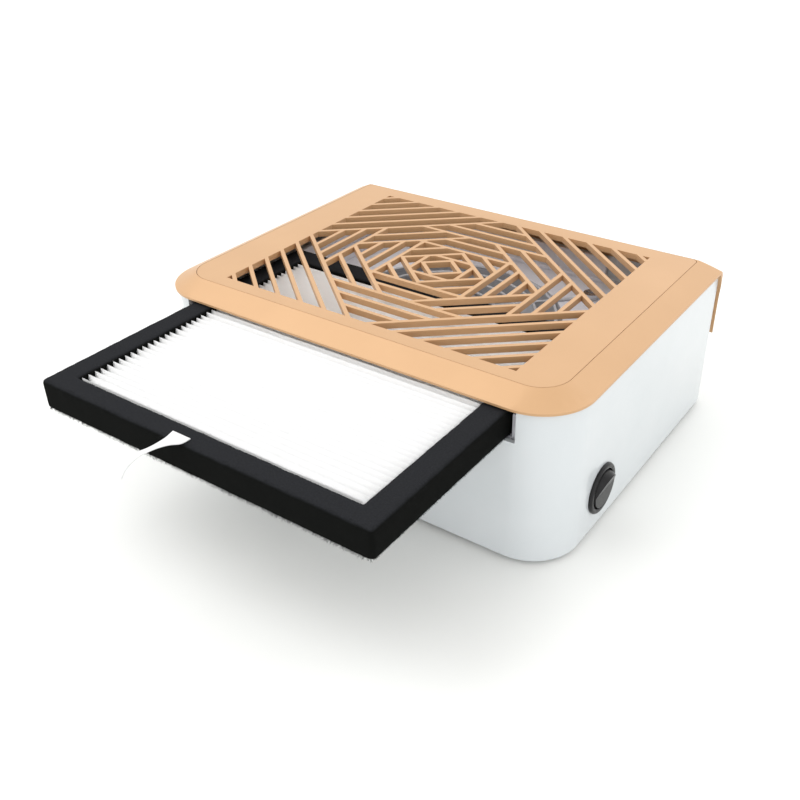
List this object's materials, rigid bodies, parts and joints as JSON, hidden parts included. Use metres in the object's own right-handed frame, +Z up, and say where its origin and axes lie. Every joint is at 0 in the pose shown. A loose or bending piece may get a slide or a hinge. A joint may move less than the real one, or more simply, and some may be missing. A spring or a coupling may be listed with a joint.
{
  "type": "nail dust collector",
  "caption": "Tabletop nail dust collector with a lattice intake grille, pull-out pleated filter cartridge, rocker switch and internal extraction fan.",
  "frame": {"origin": "at table level, under the middle of the whole object with the filter cartridge drawn half out of its slot", "axes": "+Z up, +X to the right, -Y out of the front filter slot"},
  "size_m": [0.218, 0.2638, 0.0792],
  "materials": {
    "white_shell": "glossy moulded plastic",
    "inner_plastic": "satin moulded plastic",
    "gold_cover": "satin champagne gold coating",
    "black_plastic": "glossy black moulded plastic",
    "foot_rubber": "matt rubber",
    "felt": "fuzzy black felt over foam",
    "paper": "white pleated filter paper",
    "ribbon": "white woven ribbon",
    "fan_grey": "satin light grey plastic",
    "steel": "bright steel",
    "copper": "enamelled copper wire",
    "board_green": "solder mask",
    "lead_black": "wire insulation"
  },
  "bodies": {
    "housing": {"housing": "white_shell", "base_plate": "white_shell", "foot_front_left": "foot_rubber", "foot_front_right": "foot_rubber", "foot_rear_left": "foot_rubber", "foot_rear_right": "foot_rubber", "cover_rim": "gold_cover", "grille_panel": "gold_cover", "fan_deck": "inner_plastic", "filter_rail_left": "inner_plastic", "filter_rail_right": "inner_plastic", "filter_stop": "inner_plastic", "fan_frame": "fan_grey", "finger_guard": "fan_grey", "motor_stator": "steel", "motor_coils": "copper", "bearing_upper": "steel", "bearing_lower": "steel", "control_board": "board_green", "board_capacitor": "black_plastic", "board_heat_sink": "steel", "board_connector": "inner_plastic", "board_posts": "inner_plastic", "power_socket": "black_plastic", "power_socket_nut": "steel", "switch_bezel": "black_plastic", "switch_terminals": "steel", "fan_screws": "steel", "base_screws": "steel", "board_screws": "steel", "lead_socket": "lead_black", "lead_switch": "lead_black", "lead_fan": "lead_black"},
    "filter_cartridge": {"filter_frame": "felt", "filter_media": "paper", "pull_tab": "ribbon"},
    "rocker": {"switch_rocker": "black_plastic"},
    "impeller": {"fan_impeller": "fan_grey", "fan_shaft": "steel", "rotor_magnet": "black_plastic"}
  },
  "joints": [
    {"name": "filter_slide", "type": "slide", "parent": "housing", "child": "filter_cartridge", "axis": [0, -1, 0], "range_m": [-0.082, 0.085]},
    {"name": "rocker_pivot", "type": "hinge", "parent": "housing", "child": "rocker", "pos_m": [0.1052, 0.0082, 0.0202], "axis": [0, 1, 0], "range_deg": [-20, 0]},
    {"name": "impeller_spin", "type": "hinge", "parent": "housing", "child": "impeller", "pos_m": [0, 0.0494, 0.03], "axis": [0, 0, 1], "continuous": true}
  ]
}
